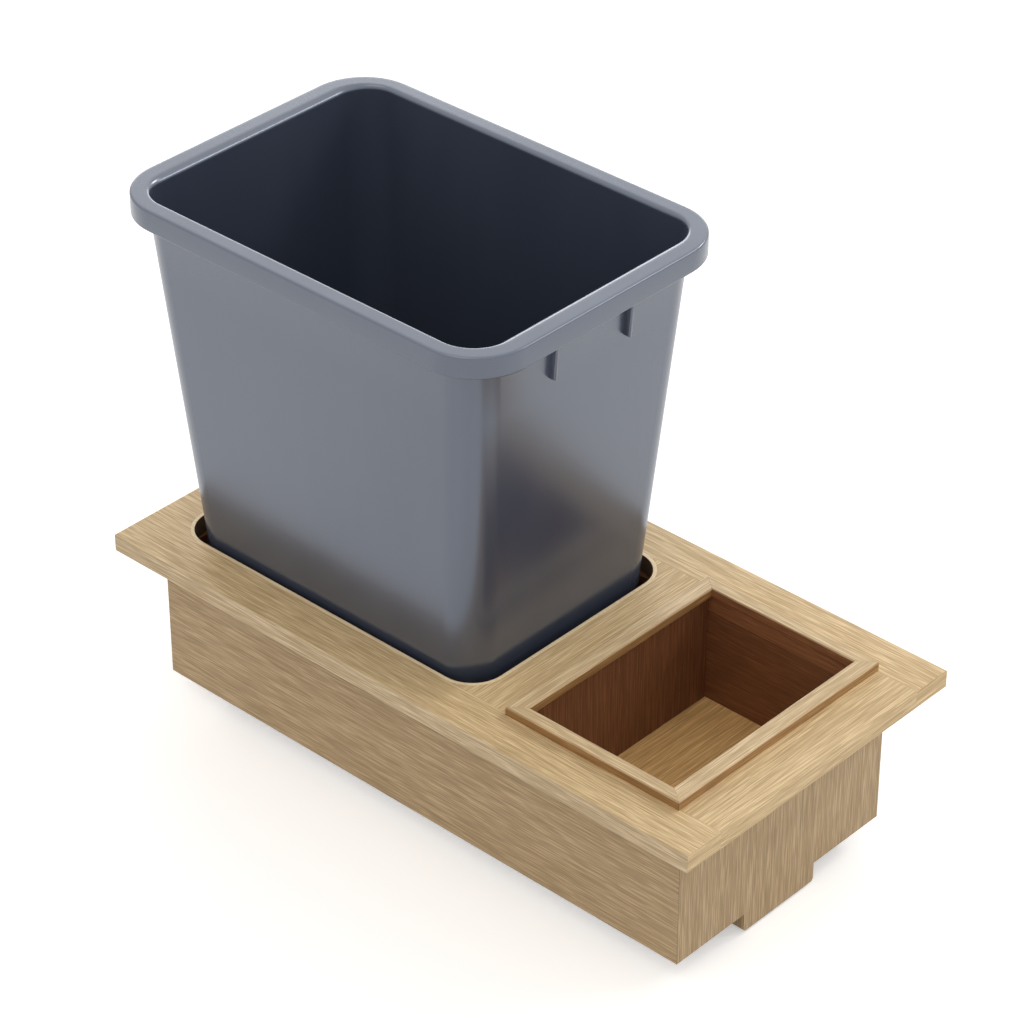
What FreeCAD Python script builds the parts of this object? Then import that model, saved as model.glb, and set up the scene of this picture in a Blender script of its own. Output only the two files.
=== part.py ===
import FreeCAD, Part
import math
import os

# Pull-out waste tray for a base cabinet. The origin lies on the cabinet floor under the middle of the
# panel; +X runs across the tray, +Y to the back of the cabinet and +Z up. Lengths are in millimetres and
# angles in degrees.

V = FreeCAD.Vector

# The bin, a moulded liner that is bought in and sets the size of the tray
bin_height = 383.0
bin_rim_width = 261.0
bin_rim_length = 364.0
bin_rim_corner = 45.0
bin_ring_width = 12.2
bin_ring_thickness = 2.4
bin_skirt_height = 17.0
bin_skirt_thickness = 2.2
bin_rim_chamfer = 1.1
bin_mouth_flare = 5.0
bin_wall_thickness = 2.4
bin_side_draft = 3.9
bin_end_draft = 4.6
bin_side_shoulder = 1.2
bin_end_shoulder = 5.7
bin_wall_corner = 28.0
bin_base_thickness = 2.8
bin_base_chamfer = 5.0
bin_foot_width = 14.0
bin_foot_depth = 2.0
bin_rib_spacing = 77.0
bin_rib_thickness = 3.5
bin_rib_reach = 168.0
bin_rib_drop = 37.0

# Clearances round the bin
tray_side_clearance = 1.2
tray_end_clearance = 5.9
cutout_side_clearance = 4.7
cutout_end_clearance = 8.0
bin_rim_gap = 3.0

# The panel on top of the tray, a frame of rails with a lipped cut-out
panel_thickness = 15.0
edge_easing = 1.0
side_overhang = 30.0
front_overhang = 31.0
side_rail_width = 35.0
cutout_corner = 27.0
lipping_thickness = 3.0

# The tray body under the panel
tongue_clearance = 2.0
tongue_drop = 16.0
tongue_width = 78.0
tongue_corner = 3.0
side_board_thickness = 12.0
side_board_height = 116.0
front_board_thickness = 15.0
back_board_thickness = 12.0
divider_thickness = 9.0
divider_groove_depth = 3.0
storage_length = 140.0
tray_inside_depth = 79.0
floor_board_thickness = 6.0
floor_groove_depth = 5.0

# The raised rim round the storage compartment
rim_height = 7.0
rim_easing = 0.8
rim_side_seat = 2.0
rim_front_seat = 10.0
rim_side_lip = 2.0
rim_front_lip = 4.0
rim_back_lip = 4.5

# Dowels, which like the rivets and screws are drawn with flat sides
flat_sides = 8
frame_dowel_radius = 4.0
frame_dowel_length = 30.0
frame_dowel_margin = 8.0
box_dowel_radius = 3.0
box_dowel_length = 24.0
box_dowel_seat = 8.0
box_dowel_margin = 20.0
front_dowel_spacing = 70.0
front_dowel_seat = 10.0
dowel_end_gap = 1.0

# The ball-bearing slides, in cross-section: pressed sheet, balls and cages
slide_length = 450.0
slide_height = 35.0
slide_thickness = 12.7
slide_sheet = 1.0
slide_front_gap = 2.0
slide_top_gap = 1.0
ball_radius = 1.5
ball_clearance = 0.05
ball_count = 4
ball_pitch = 66.0
outer_curl_end = 25.0
s_bend_end = 300.0
s_bend_straight = 2.0
drawer_curl_start = 225.0
cage_sheet = 0.5
cage_gap = 0.15
cage_end_margin = 10.0
cage_flange_reach = 2.35
inner_flange_reach = 2.87
cage_window_clearance = 0.1
cage_window_depth = 1.75
cage_window_rise = 0.75

# The base that is screwed to the cabinet floor
bracket_sheet = 2.0
bracket_bend = 2.0
bracket_foot_width = 32.3
bracket_top_gap = 2.0
base_tail = 8.0
tie_bar_width = 20.0
tie_bar_thickness = 2.0
tie_bar_setback = 12.0
tie_bar_end_gap = 7.3
tie_bar_corner = 3.0
floor_screw_radius = 2.5
floor_screw_inset = 15.0
floor_screw_setback = 65.0
floor_screw_pitch = 320.0

# Rubber stops and fasteners
bumper_gap = 0.3
bumper_length = 7.2
bumper_height = 18.0
bumper_thickness = 9.5
bumper_rounding = 1.5
bumper_stud_radius = 2.0
rivet_radius = 2.0
rivet_head_radius = 3.6
rivet_crown_radius = 2.3
rivet_head_height = 1.4
slide_rivet_margin = 35.0
slide_rivet_count = 3
tie_rivet_inset = 11.0
tray_screw_radius = 1.9
tray_screw_reach = 10.0
tray_screw_point = 3.0
tray_screw_head_radius = 3.6
tray_screw_crown_radius = 2.8
tray_screw_head_height = 1.5
tray_screw_point_radius = 0.4
tray_screw_margin = 25.0
tray_screw_count = 3

# Heights above the cabinet floor
board_bottom = tongue_clearance + tongue_drop
panel_bottom = board_bottom + side_board_height
panel_top = panel_bottom + panel_thickness
rim_top = panel_top + rim_height
floor_top = panel_bottom - tray_inside_depth
floor_bottom = floor_top - floor_board_thickness
bin_top = floor_top + bin_height
skirt_bottom = bin_top - bin_skirt_height
slide_z = floor_bottom - slide_top_gap - slide_height / 2
bracket_top = floor_bottom - bracket_top_gap

# Half sizes of the bin's opening and, at a given height, of its outer wall
opening_half_x = bin_rim_width / 2 - bin_ring_width
opening_half_y = bin_rim_length / 2 - bin_ring_width
opening_corner = bin_rim_corner - bin_ring_width


def wall_half_x(z):
    side_top = opening_half_x + bin_wall_thickness - bin_side_shoulder
    return side_top - (bin_top - z) * math.tan(math.radians(bin_side_draft))


def wall_half_y(z):
    end_top = opening_half_y + bin_wall_thickness - bin_end_shoulder
    return end_top - (bin_top - z) * math.tan(math.radians(bin_end_draft))


# Places across the tray, from its middle
board_inner = wall_half_x(panel_bottom) + tray_side_clearance
board_outer = board_inner + side_board_thickness
panel_side = board_outer + side_overhang
seam = panel_side - side_rail_width
cutout_half_x = wall_half_x(panel_top) + cutout_side_clearance
slide_face = board_inner - slide_thickness

# Places along the tray, from the front edge of the panel
panel_length = (front_overhang + front_board_thickness + storage_length + divider_thickness
                + bin_rim_gap + bin_rim_length)
panel_front = -panel_length / 2
panel_back = panel_length / 2
board_front = panel_front + front_overhang
storage_front = board_front + front_board_thickness
storage_back = storage_front + storage_length
divider_back = storage_back + divider_thickness
bin_y = divider_back + bin_rim_gap + bin_rim_length / 2
cutout_half_y = wall_half_y(panel_top) + cutout_end_clearance
back_board_front = bin_y + wall_half_y(panel_bottom) + tray_end_clearance
back_board_back = back_board_front + back_board_thickness
slide_front = storage_front + slide_front_gap
slide_back = slide_front + slide_length
base_back = slide_back + base_tail
slide_middle = (slide_front + slide_back) / 2

tiny = 0.001

os.makedirs("parts", exist_ok=True)


def save(name, shape):
    shape.exportStep("parts/" + name + ".step")


def mirrored(shape):
    return shape.mirror(V(0, 0, 0), V(1, 0, 0))


def save_pair(name, right):
    save(name + "_right", right)
    save(name + "_left", mirrored(right))


def block(x0, x1, y0, y1, z0, z1):
    return Part.makeBox(x1 - x0, y1 - y0, z1 - z0, V(x0, y0, z0))


def slab(points, z0, z1):
    corners = [V(x, y, z0) for x, y in points]
    return Part.Face(Part.makePolygon(corners + corners[:1])).extrude(V(0, 0, z1 - z0))


def fused(shapes):
    return shapes[0].multiFuse(shapes[1:]).removeSplitter()


def rounded_outline(half_x, half_y, radius, centre_y, z):
    """Rectangle with round corners, as one closed wire at height z."""
    edges = []
    flat_x = half_x - radius
    flat_y = half_y - radius
    corners = [(flat_x, flat_y, 0), (-flat_x, flat_y, 90), (-flat_x, -flat_y, 180), (flat_x, -flat_y, 270)]
    points = []
    for x, y, start in corners:
        arc = [V(x + radius * math.cos(math.radians(start + turn)),
                 centre_y + y + radius * math.sin(math.radians(start + turn)), z) for turn in (0, 45, 90)]
        points.append(arc)
    for index, arc in enumerate(points):
        edges.append(Part.Arc(arc[0], arc[1], arc[2]).toShape())
        edges.append(Part.LineSegment(arc[2], points[(index + 1) % 4][0]).toShape())
    return Part.Wire(edges)


def rounded_prism(half_x, half_y, radius, centre_y, z0, z1):
    return Part.Face(rounded_outline(half_x, half_y, radius, centre_y, z0)).extrude(V(0, 0, z1 - z0))


def edges_at(shape, z):
    return [edge for edge in shape.Edges
            if abs(edge.BoundBox.ZMin - z) < tiny and abs(edge.BoundBox.ZMax - z) < tiny]


def spaced(first, last, count):
    return [first + (last - first) * step / (count - 1) for step in range(count)]


def cut_all(shape, tools):
    return shape.cut(Part.makeCompound(tools)).removeSplitter()


def frustum(lower, upper):
    """Solid with flat sides between two outlines that have as many corners as each other."""
    faces = [Part.Face(Part.makePolygon(ring + ring[:1])) for ring in (lower[::-1], upper)]
    for index in range(len(lower)):
        after = (index + 1) % len(lower)
        side = [lower[index], lower[after], upper[after], upper[index]]
        faces.append(Part.Face(Part.makePolygon(side + side[:1])))
    return Part.Solid(Part.Shell(faces))


def pin(point, direction, stages):
    """Flat-sided pin made of stages, each with its start, end, start radius and end radius."""
    turns = [2 * math.pi * step / flat_sides for step in range(flat_sides)]
    pieces = []
    for start, end, start_radius, end_radius in stages:
        lower = [V(start_radius * math.cos(turn), start_radius * math.sin(turn), start) for turn in turns]
        upper = [V(end_radius * math.cos(turn), end_radius * math.sin(turn), end) for turn in turns]
        pieces.append(frustum(lower, upper))
    whole = fused(pieces) if len(pieces) > 1 else pieces[0]
    whole.Placement = FreeCAD.Placement(point, FreeCAD.Rotation(V(0, 0, 1), direction))
    return whole


def dowel(point, direction, radius, length):
    return pin(point, direction, [(0, length, radius, radius)])


def dowel_hole(point, direction, radius, length):
    """Blind hole a little deeper than the dowel at both of its ends."""
    return pin(point, direction, [(-dowel_end_gap, length + dowel_end_gap, radius, radius)])


# Panel rails, cut from one eased blank so that their outer edges run on across the joints
panel_blank = block(-panel_side, panel_side, panel_front, panel_back, panel_bottom, panel_top)
outer_edges = edges_at(panel_blank, panel_top) + edges_at(panel_blank, panel_bottom)
panel_blank = panel_blank.makeFillet(edge_easing, outer_edges)

lipping_half_x = cutout_half_x + lipping_thickness
lipping_half_y = cutout_half_y + lipping_thickness
lipping_corner = cutout_corner + lipping_thickness
lipping_blank = rounded_prism(lipping_half_x, lipping_half_y, lipping_corner, bin_y, panel_bottom, panel_top)
cutout = rounded_prism(cutout_half_x, cutout_half_y, cutout_corner, bin_y, panel_bottom, panel_top)
cutout_lipping = lipping_blank.cut(cutout)

lipping_front = bin_y - lipping_half_y
lipping_back = bin_y + lipping_half_y

cross_rails = {
    "front_rail": (panel_front, storage_front, storage_front),
    "middle_rail": (divider_back, lipping_front, lipping_front + lipping_corner),
    "back_rail": (lipping_back, panel_back, lipping_back - lipping_corner),
}

frame_dowels = []
frame_dowel_holes = []
across = V(1, 0, 0)
for near, far, _ in cross_rails.values():
    for y in (near + frame_dowel_margin, far - frame_dowel_margin):
        for side in (-1, 1):
            start = V(side * seam - frame_dowel_length / 2, y, (panel_bottom + panel_top) / 2)
            frame_dowels.append(dowel(start, across, frame_dowel_radius, frame_dowel_length))
            frame_dowel_holes.append(dowel_hole(start, across, frame_dowel_radius, frame_dowel_length))

front_dowels = []
front_dowel_holes = []
upward = V(0, 0, 1)
for x in (-front_dowel_spacing, 0, front_dowel_spacing):
    start = V(x, (board_front + storage_front) / 2, panel_bottom + front_dowel_seat - box_dowel_length)
    front_dowels.append(dowel(start, upward, box_dowel_radius, box_dowel_length))
    front_dowel_holes.append(dowel_hole(start, upward, box_dowel_radius, box_dowel_length))

for name, (near, far, blank_edge) in cross_rails.items():
    region = block(-seam, seam, min(near, blank_edge), max(far, blank_edge), panel_bottom, panel_top)
    rail = panel_blank.common(region).cut(lipping_blank)
    rail = cut_all(rail, frame_dowel_holes + front_dowel_holes)
    save(name, rail)

side_region = block(seam, panel_side, panel_front, panel_back, panel_bottom, panel_top)
side_rail = cut_all(panel_blank.common(side_region).cut(lipping_blank), frame_dowel_holes)
save_pair("side_rail", side_rail)
save("cutout_lipping", cutout_lipping)
save("frame_dowels", Part.makeCompound(frame_dowels))

# Storage rim, four mitred strips on the panel; the side strips reach down between the front rail and
# the divider, where they finish the inside of the compartment
rim_out_x = seam + rim_side_seat
rim_in_x = board_inner - rim_side_lip
rim_out_front = storage_front - rim_front_seat
rim_in_front = storage_front + rim_front_lip
rim_in_back = storage_back - rim_back_lip


def rim_strip(bar, long_edges, outline):
    """Strip with eased long edges, cut to length along its mitres."""
    return bar.makeChamfer(rim_easing, long_edges).common(slab(outline, panel_top, rim_top))


def cross_strip(y_out, y_in):
    bar = block(-rim_out_x - rim_height, rim_out_x + rim_height, min(y_out, y_in), max(y_out, y_in),
                panel_top, rim_top)
    long_edges = [edge for edge in edges_at(bar, rim_top) if edge.BoundBox.YLength < tiny]
    return rim_strip(bar, long_edges, [(-rim_out_x, y_out), (rim_out_x, y_out), (rim_in_x, y_in),
                                       (-rim_in_x, y_in)])


def side_strip():
    bar = block(rim_in_x, rim_out_x, rim_out_front - rim_height, divider_back + rim_height,
                panel_top, rim_top)
    long_edges = [edge for edge in edges_at(bar, rim_top) if edge.BoundBox.XLength < tiny]
    return rim_strip(bar, long_edges, [(rim_out_x, rim_out_front), (rim_out_x, divider_back),
                                       (rim_in_x, rim_in_back), (rim_in_x, rim_in_front)])


downstand = block(board_inner, seam, storage_front, storage_back, panel_bottom, panel_top)
save("rim_front", cross_strip(rim_out_front, rim_in_front))
save("rim_back", cross_strip(divider_back, rim_in_back))
save_pair("rim", fused([side_strip(), downstand]))

# Tray body: boards mitred at the front corners, a floor in grooves, and a divider in shallow grooves
floor_half_x = board_inner + floor_groove_depth
floor_front = storage_front - floor_groove_depth
floor_board = block(-floor_half_x, floor_half_x, floor_front, back_board_back, floor_bottom, floor_top)

divider_half_x = board_inner + divider_groove_depth
divider_web = block(-divider_half_x, divider_half_x, storage_back, divider_back, floor_top, panel_bottom)
divider_head = block(-seam, seam, storage_back, divider_back, panel_bottom, panel_top)
divider_board = fused([divider_web, divider_head])

box_dowels = list(front_dowels)
back_dowel_holes = []
for z in (floor_top + box_dowel_margin, panel_bottom - box_dowel_margin):
    for side in (-1, 1):
        end_x = board_inner + box_dowel_seat
        start_x = end_x - box_dowel_length if side > 0 else -end_x
        start = V(start_x, (back_board_front + back_board_back) / 2, z)
        box_dowels.append(dowel(start, across, box_dowel_radius, box_dowel_length))
        back_dowel_holes.append(dowel_hole(start, across, box_dowel_radius, box_dowel_length))

screw_places = spaced(slide_front + tray_screw_margin, slide_back - tray_screw_margin, tray_screw_count)


def tray_screw(y):
    """Pan-head screw from inside the slide's drawer member into the side board."""
    seat = V(board_inner - slide_sheet, y, slide_z)
    tip = slide_sheet + tray_screw_reach
    return pin(seat, across, [
        (-tray_screw_head_height, 0, tray_screw_crown_radius, tray_screw_head_radius),
        (0, tip - tray_screw_point, tray_screw_radius, tray_screw_radius),
        (tip - tray_screw_point, tip, tray_screw_radius, tray_screw_point_radius)])


tray_screws = [tray_screw(y) for y in screw_places]

side_board = slab([(board_outer, board_front), (board_outer, back_board_back),
                   (board_inner, back_board_back), (board_inner, storage_front)], board_bottom, panel_bottom)
side_board = side_board.cut(floor_board).cut(divider_web)
side_board = cut_all(side_board, back_dowel_holes + tray_screws)
save_pair("side_board", side_board)

front_board = slab([(-board_outer, board_front), (board_outer, board_front), (board_inner, storage_front),
                    (-board_inner, storage_front)], board_bottom, panel_bottom)
tongue = block(-tongue_width / 2, tongue_width / 2, board_front, storage_front,
               tongue_clearance, board_bottom)
tongue_corners = [edge for edge in edges_at(tongue, tongue_clearance) if edge.BoundBox.XLength < tiny]
front_board = fused([front_board, tongue.makeFillet(tongue_corner, tongue_corners)])
front_board = cut_all(front_board.cut(floor_board), front_dowel_holes)
save("front_board", front_board)

back_board = block(-board_inner, board_inner, back_board_front, back_board_back, floor_top, panel_bottom)
save("back_board", cut_all(back_board, back_dowel_holes))
save("floor_board", floor_board)
save("divider_board", divider_board)
save("box_dowels", Part.makeCompound(box_dowels))
save_pair("tray_screws", Part.makeCompound(tray_screws))


# Bin: drafted walls under a flat ring, with a hollow skirt that hangs from the ring's outer edge
def wall_outline(z, inset):
    x = wall_half_x(z) - inset
    y = wall_half_y(z) - inset
    return [V(-x, bin_y - y, z), V(x, bin_y - y, z), V(x, bin_y + y, z), V(-x, bin_y + y, z)]


def drafted_walls(z0, z1, inset):
    walls = frustum(wall_outline(z0, inset), wall_outline(z1, inset))
    corners = [edge for edge in walls.Edges if edge.BoundBox.ZLength > tiny]
    return walls.makeFillet(bin_wall_corner - inset, corners)


def mouth_flare():
    """The widening of the mouth from the walls out to the inner edge of the ring."""
    z = bin_top - bin_mouth_flare
    lower = rounded_outline(wall_half_x(z) - bin_wall_thickness, wall_half_y(z) - bin_wall_thickness,
                            bin_wall_corner - bin_wall_thickness, bin_y, z)
    upper = rounded_outline(opening_half_x, opening_half_y, opening_corner, bin_y, bin_top)
    return Part.makeLoft([lower, upper], True, True)


def make_bin():
    rim_x = bin_rim_width / 2
    rim_y = bin_rim_length / 2

    body = drafted_walls(floor_top, skirt_bottom, 0)
    body = body.makeChamfer(bin_base_chamfer, edges_at(body, floor_top))
    neck = rounded_prism(opening_half_x + bin_wall_thickness, opening_half_y + bin_wall_thickness,
                         opening_corner + bin_wall_thickness, bin_y, skirt_bottom, bin_top)
    rim = rounded_prism(rim_x, rim_y, bin_rim_corner, bin_y, skirt_bottom, bin_top)
    under_rim = rounded_prism(rim_x - bin_skirt_thickness, rim_y - bin_skirt_thickness,
                              bin_rim_corner - bin_skirt_thickness, bin_y,
                              skirt_bottom, bin_top - bin_ring_thickness)
    rim = rim.makeChamfer(bin_rim_chamfer, edges_at(rim, bin_top)).cut(under_rim)

    ribs = []
    for x in (-bin_rib_spacing / 2, bin_rib_spacing / 2):
        ribs.append(block(x - bin_rib_thickness / 2, x + bin_rib_thickness / 2, bin_y - bin_rib_reach,
                          bin_y + bin_rib_reach, skirt_bottom - bin_rib_drop, skirt_bottom))
    solid = fused([body, neck, rim] + ribs)

    cavity_floor = floor_top + bin_foot_depth + bin_base_thickness
    cavity = drafted_walls(cavity_floor, bin_top, bin_wall_thickness)
    cavity = cavity.makeChamfer(bin_base_chamfer, edges_at(cavity, cavity_floor))
    foot_recess = rounded_prism(wall_half_x(floor_top) - bin_foot_width,
                                wall_half_y(floor_top) - bin_foot_width,
                                bin_wall_corner - bin_foot_width, bin_y,
                                floor_top, floor_top + bin_foot_depth)
    return solid.cut(cavity).cut(mouth_flare()).cut(foot_recess)


save("waste_bin", make_bin())

# Slide cross-sections, drawn in the plane across the slide: u runs out from the bracket's face and v up
# from the slide's middle. The outer rows of balls run between the cabinet and middle members, the inner
# rows between the middle and drawer members.
groove_in = ball_radius + ball_clearance
groove_out = groove_in + slide_sheet
groove_mid = (groove_in + groove_out) / 2
outer_row = (groove_out, slide_height / 2 - groove_out)


def turned(centre, radius, angle):
    return (centre[0] + radius * math.cos(math.radians(angle)),
            centre[1] + radius * math.sin(math.radians(angle)))


s_bend_heading = s_bend_end - 270
s_bend_from = turned(outer_row, groove_mid, s_bend_end)
s_bend_to = turned(s_bend_from, s_bend_straight, s_bend_heading)
inner_row = turned(s_bend_to, groove_mid, s_bend_heading - 90)

middle_web = slide_sheet + 2 * cage_gap + cage_sheet
middle_curl_start = 180 + math.degrees(math.acos((outer_row[0] - middle_web) / groove_out))
drawer_curl = turned(inner_row, groove_out, drawer_curl_start)
inner_cage_web = drawer_curl[0] - cage_gap - cage_sheet


def section_point(u, v, y):
    return V(slide_face + u, y, slide_z + v)


def strip(u0, u1, v0, v1, y0, y1):
    return block(slide_face + u0, slide_face + u1, y0, y1, slide_z + v0, slide_z + v1)


def curl(centre, start, end, y0, y1):
    """Sheet bent round a row of balls, from one angle to another."""
    edges = []
    middle = (start + end) / 2
    ends = []
    for radius in (groove_in, groove_out):
        points = [section_point(*turned(centre, radius, angle), y0) for angle in (start, middle, end)]
        edges.append(Part.Arc(*points).toShape())
        ends.append((points[0], points[2]))
    for side in (0, 1):
        edges.append(Part.LineSegment(ends[0][side], ends[1][side]).toShape())
    return Part.Face(Part.Wire(Part.__sortEdges__(edges))).extrude(V(0, y1 - y0, 0))


def s_bend(y0, y1):
    """Straight sheet that joins the two curls of the middle member."""
    half = slide_sheet / 2
    points = []
    for end, side in ((s_bend_from, -1), (s_bend_to, -1), (s_bend_to, 1), (s_bend_from, 1)):
        points.append(section_point(*turned(end, side * half, s_bend_heading + 90), y0))
    return Part.Face(Part.makePolygon(points + points[:1])).extrude(V(0, y1 - y0, 0))


def both_edges(web, upper):
    """A web with the same formed edge above and below it."""
    lower = [shape.mirror(V(0, 0, slide_z), V(0, 0, 1)) for shape in upper]
    return fused([web] + upper + lower)


def cage(web_u, row, reach, y0, y1):
    """Channel of thin sheet with a window for each ball of its two rows."""
    half = cage_sheet / 2
    web = strip(web_u, web_u + cage_sheet, -row[1] - half, row[1] + half, y0, y1)
    channel = both_edges(web, [strip(web_u, row[0] + reach, row[1] - half, row[1] + half, y0, y1)])
    opening = ball_flat + cage_window_clearance
    low = row[1] - cage_window_depth
    high = row[1] + cage_window_rise
    windows = []
    for y in ball_places:
        for v0, v1 in ((low, high), (-high, -low)):
            windows.append(strip(row[0] - opening, row[0] + opening, v0, v1, y - opening, y + opening))
    return cut_all(channel, windows)


def ball(centre):
    """Ball drawn with 26 flats, whose edges lie on the rolling radius."""
    cube = block(-ball_flat, ball_flat, -ball_flat, ball_flat, -ball_flat, ball_flat)
    facets = cube.makeChamfer(ball_flat - ball_radius * math.sin(flat_turn), cube.Edges)
    facets.translate(centre)
    return facets


def ball_rows(row):
    centres = [section_point(row[0], side * row[1], y) for y in ball_places for side in (-1, 1)]
    return Part.makeCompound([ball(centre) for centre in centres])


def rivet(seat, outward, length):
    """Rivet with its crowned head on the outward side of the seat, and its flush shank behind it."""
    return pin(seat, outward, [(-length, 0, rivet_radius, rivet_radius),
                               (0, rivet_head_height, rivet_head_radius, rivet_crown_radius)])


# Ball places, centred on the slide so that both cages stay between their members at full extension
flat_turn = math.radians(22.5)
ball_flat = ball_radius * math.cos(flat_turn)
ball_span = ball_pitch * (ball_count - 1)
ball_places = spaced(slide_middle - ball_span / 2, slide_middle + ball_span / 2, ball_count)
cage_front = ball_places[0] - cage_end_margin
cage_back = ball_places[-1] + cage_end_margin

# Rivets that hold the slide to its bracket, and the bumper's stud, all through the cabinet member
rivet_places = spaced(slide_front + slide_rivet_margin, slide_back - slide_rivet_margin, slide_rivet_count)
slide_rivets = [rivet(V(slide_face - bracket_sheet, y, slide_z), V(-1, 0, 0), bracket_sheet + slide_sheet)
                for y in rivet_places]
bumper_front = slide_back + bumper_gap
bumper_middle = bumper_front + bumper_length / 2
bumper_stud = pin(section_point(0, 0, bumper_middle), across,
                  [(0, slide_sheet, bumper_stud_radius, bumper_stud_radius)])
bumper_pad = strip(slide_sheet, slide_sheet + bumper_thickness, -bumper_height / 2, bumper_height / 2,
                   bumper_front, bumper_front + bumper_length)
pad_corners = [edge for edge in bumper_pad.Edges if edge.BoundBox.YLength > bumper_length - tiny]
bumper_pad = bumper_pad.makeFillet(bumper_rounding, pad_corners)
end_bumper = fused([bumper_pad, bumper_stud])

cabinet_web = strip(0, slide_sheet, -outer_row[1], outer_row[1], slide_front, base_back)
cabinet_member = both_edges(cabinet_web, [curl(outer_row, outer_curl_end, 180, slide_front, base_back)])
cabinet_member = cut_all(cabinet_member, slide_rivets + [bumper_stud])

web_top = turned(outer_row, groove_out, middle_curl_start)[1]
middle_member = both_edges(
    strip(middle_web, middle_web + slide_sheet, -web_top, web_top, slide_front, slide_back),
    [curl(outer_row, middle_curl_start, s_bend_end, slide_front, slide_back), s_bend(slide_front, slide_back),
     curl(inner_row, outer_curl_end, s_bend_end - 180, slide_front, slide_back)])

flange_top = inner_row[1] - groove_in
drawer_web = strip(slide_thickness - slide_sheet, slide_thickness, -flange_top, flange_top,
                   slide_front, slide_back)
drawer_flange = strip(inner_row[0], slide_thickness, flange_top - slide_sheet, flange_top,
                      slide_front, slide_back)
drawer_member = both_edges(drawer_web, [drawer_flange, curl(inner_row, drawer_curl_start, 270,
                                                            slide_front, slide_back)])
drawer_member = cut_all(drawer_member, tray_screws)

save_pair("cabinet_member", cabinet_member)
save_pair("middle_member", middle_member)
save_pair("drawer_member", drawer_member)
save_pair("outer_cage", cage(slide_sheet + cage_gap, outer_row, cage_flange_reach, cage_front, cage_back))
save_pair("inner_cage", cage(inner_cage_web, inner_row, inner_flange_reach, cage_front, cage_back))
save_pair("outer_balls", ball_rows(outer_row))
save_pair("inner_balls", ball_rows(inner_row))
save_pair("end_bumper", end_bumper)
save_pair("slide_rivets", Part.makeCompound(slide_rivets))

# Base: a steel angle under each slide, and two bars that tie the angles together
bend_out = bracket_bend + bracket_sheet
foot_inner = slide_face - bracket_foot_width


def bend_arc(radius):
    centre = V(slide_face - bend_out, 0, bend_out)
    points = [centre + V(radius * math.cos(math.radians(a)), 0, radius * math.sin(math.radians(a)))
              for a in (270, 315, 360)]
    return points


def make_bracket():
    outside = bend_arc(bend_out)
    inside = bend_arc(bracket_bend)
    foot = [V(foot_inner, 0, bracket_sheet), V(foot_inner, 0, 0)]
    top = [V(slide_face, 0, bracket_top), V(slide_face - bracket_sheet, 0, bracket_top)]
    corners = [inside[0]] + foot + [outside[0]]
    edges = [Part.LineSegment(a, b).toShape() for a, b in zip(corners, corners[1:])]
    edges.append(Part.Arc(*outside).toShape())
    corners = [outside[2]] + top + [inside[2]]
    edges += [Part.LineSegment(a, b).toShape() for a, b in zip(corners, corners[1:])]
    edges.append(Part.Arc(inside[2], inside[1], inside[0]).toShape())
    angle = Part.Face(Part.Wire(edges)).extrude(V(0, base_back - slide_front, 0))
    angle.translate(V(0, slide_front, 0))
    return angle


screw_x = foot_inner + floor_screw_inset
screw_front = slide_front + floor_screw_setback
floor_holes = [Part.makeCylinder(floor_screw_radius, bracket_sheet, V(screw_x, y, 0), upward)
               for y in (screw_front, screw_front + floor_screw_pitch)]

tie_bar_half = slide_face - tie_bar_end_gap
tie_front = slide_front + tie_bar_setback
tie_back = slide_back - tie_bar_setback / 2 - tie_bar_width
bar_top = bracket_sheet + tie_bar_thickness
tie_rivets = []
tie_bars = {}
for name, y0 in (("tie_bar_front", tie_front), ("tie_bar_rear", tie_back)):
    bar = block(-tie_bar_half, tie_bar_half, y0, y0 + tie_bar_width, bracket_sheet, bar_top)
    upright_edges = [edge for edge in bar.Edges if edge.BoundBox.ZLength > tie_bar_thickness - tiny]
    tie_bars[name] = bar.makeChamfer(tie_bar_corner, upright_edges)
    for side in (-1, 1):
        seat = V(side * (tie_bar_half - tie_rivet_inset), y0 + tie_bar_width / 2, bar_top)
        tie_rivets.append(rivet(seat, upward, bar_top))

for name, bar in tie_bars.items():
    save(name, cut_all(bar, tie_rivets))
save_pair("bracket", cut_all(make_bracket(), slide_rivets + floor_holes + tie_rivets))
save("tie_rivets", Part.makeCompound(tie_rivets))
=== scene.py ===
import math

import bpy
from mathutils import Matrix, Vector


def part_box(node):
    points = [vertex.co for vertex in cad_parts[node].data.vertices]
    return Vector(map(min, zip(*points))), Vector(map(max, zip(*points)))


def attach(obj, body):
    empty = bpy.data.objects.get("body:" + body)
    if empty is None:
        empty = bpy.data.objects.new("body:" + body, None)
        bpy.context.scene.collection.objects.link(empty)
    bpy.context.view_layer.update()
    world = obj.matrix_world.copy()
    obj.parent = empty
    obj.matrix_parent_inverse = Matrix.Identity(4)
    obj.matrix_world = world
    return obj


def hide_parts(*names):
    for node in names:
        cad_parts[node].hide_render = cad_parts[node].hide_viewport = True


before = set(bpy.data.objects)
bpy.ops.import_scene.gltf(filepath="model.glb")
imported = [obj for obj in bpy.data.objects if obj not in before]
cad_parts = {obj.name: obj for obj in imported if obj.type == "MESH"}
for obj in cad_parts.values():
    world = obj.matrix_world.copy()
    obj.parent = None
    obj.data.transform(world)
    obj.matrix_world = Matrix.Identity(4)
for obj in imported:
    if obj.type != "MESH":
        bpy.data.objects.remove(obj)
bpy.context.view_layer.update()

# --- Base brackets and tie bars -----------------------------------------------------------------
# Two folded steel angles stand on the cabinet floor, one under each slide, and two flat bars tie them
# together. All four are cut from 2 mm sheet and have a satin powder coat in a light grey.

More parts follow.
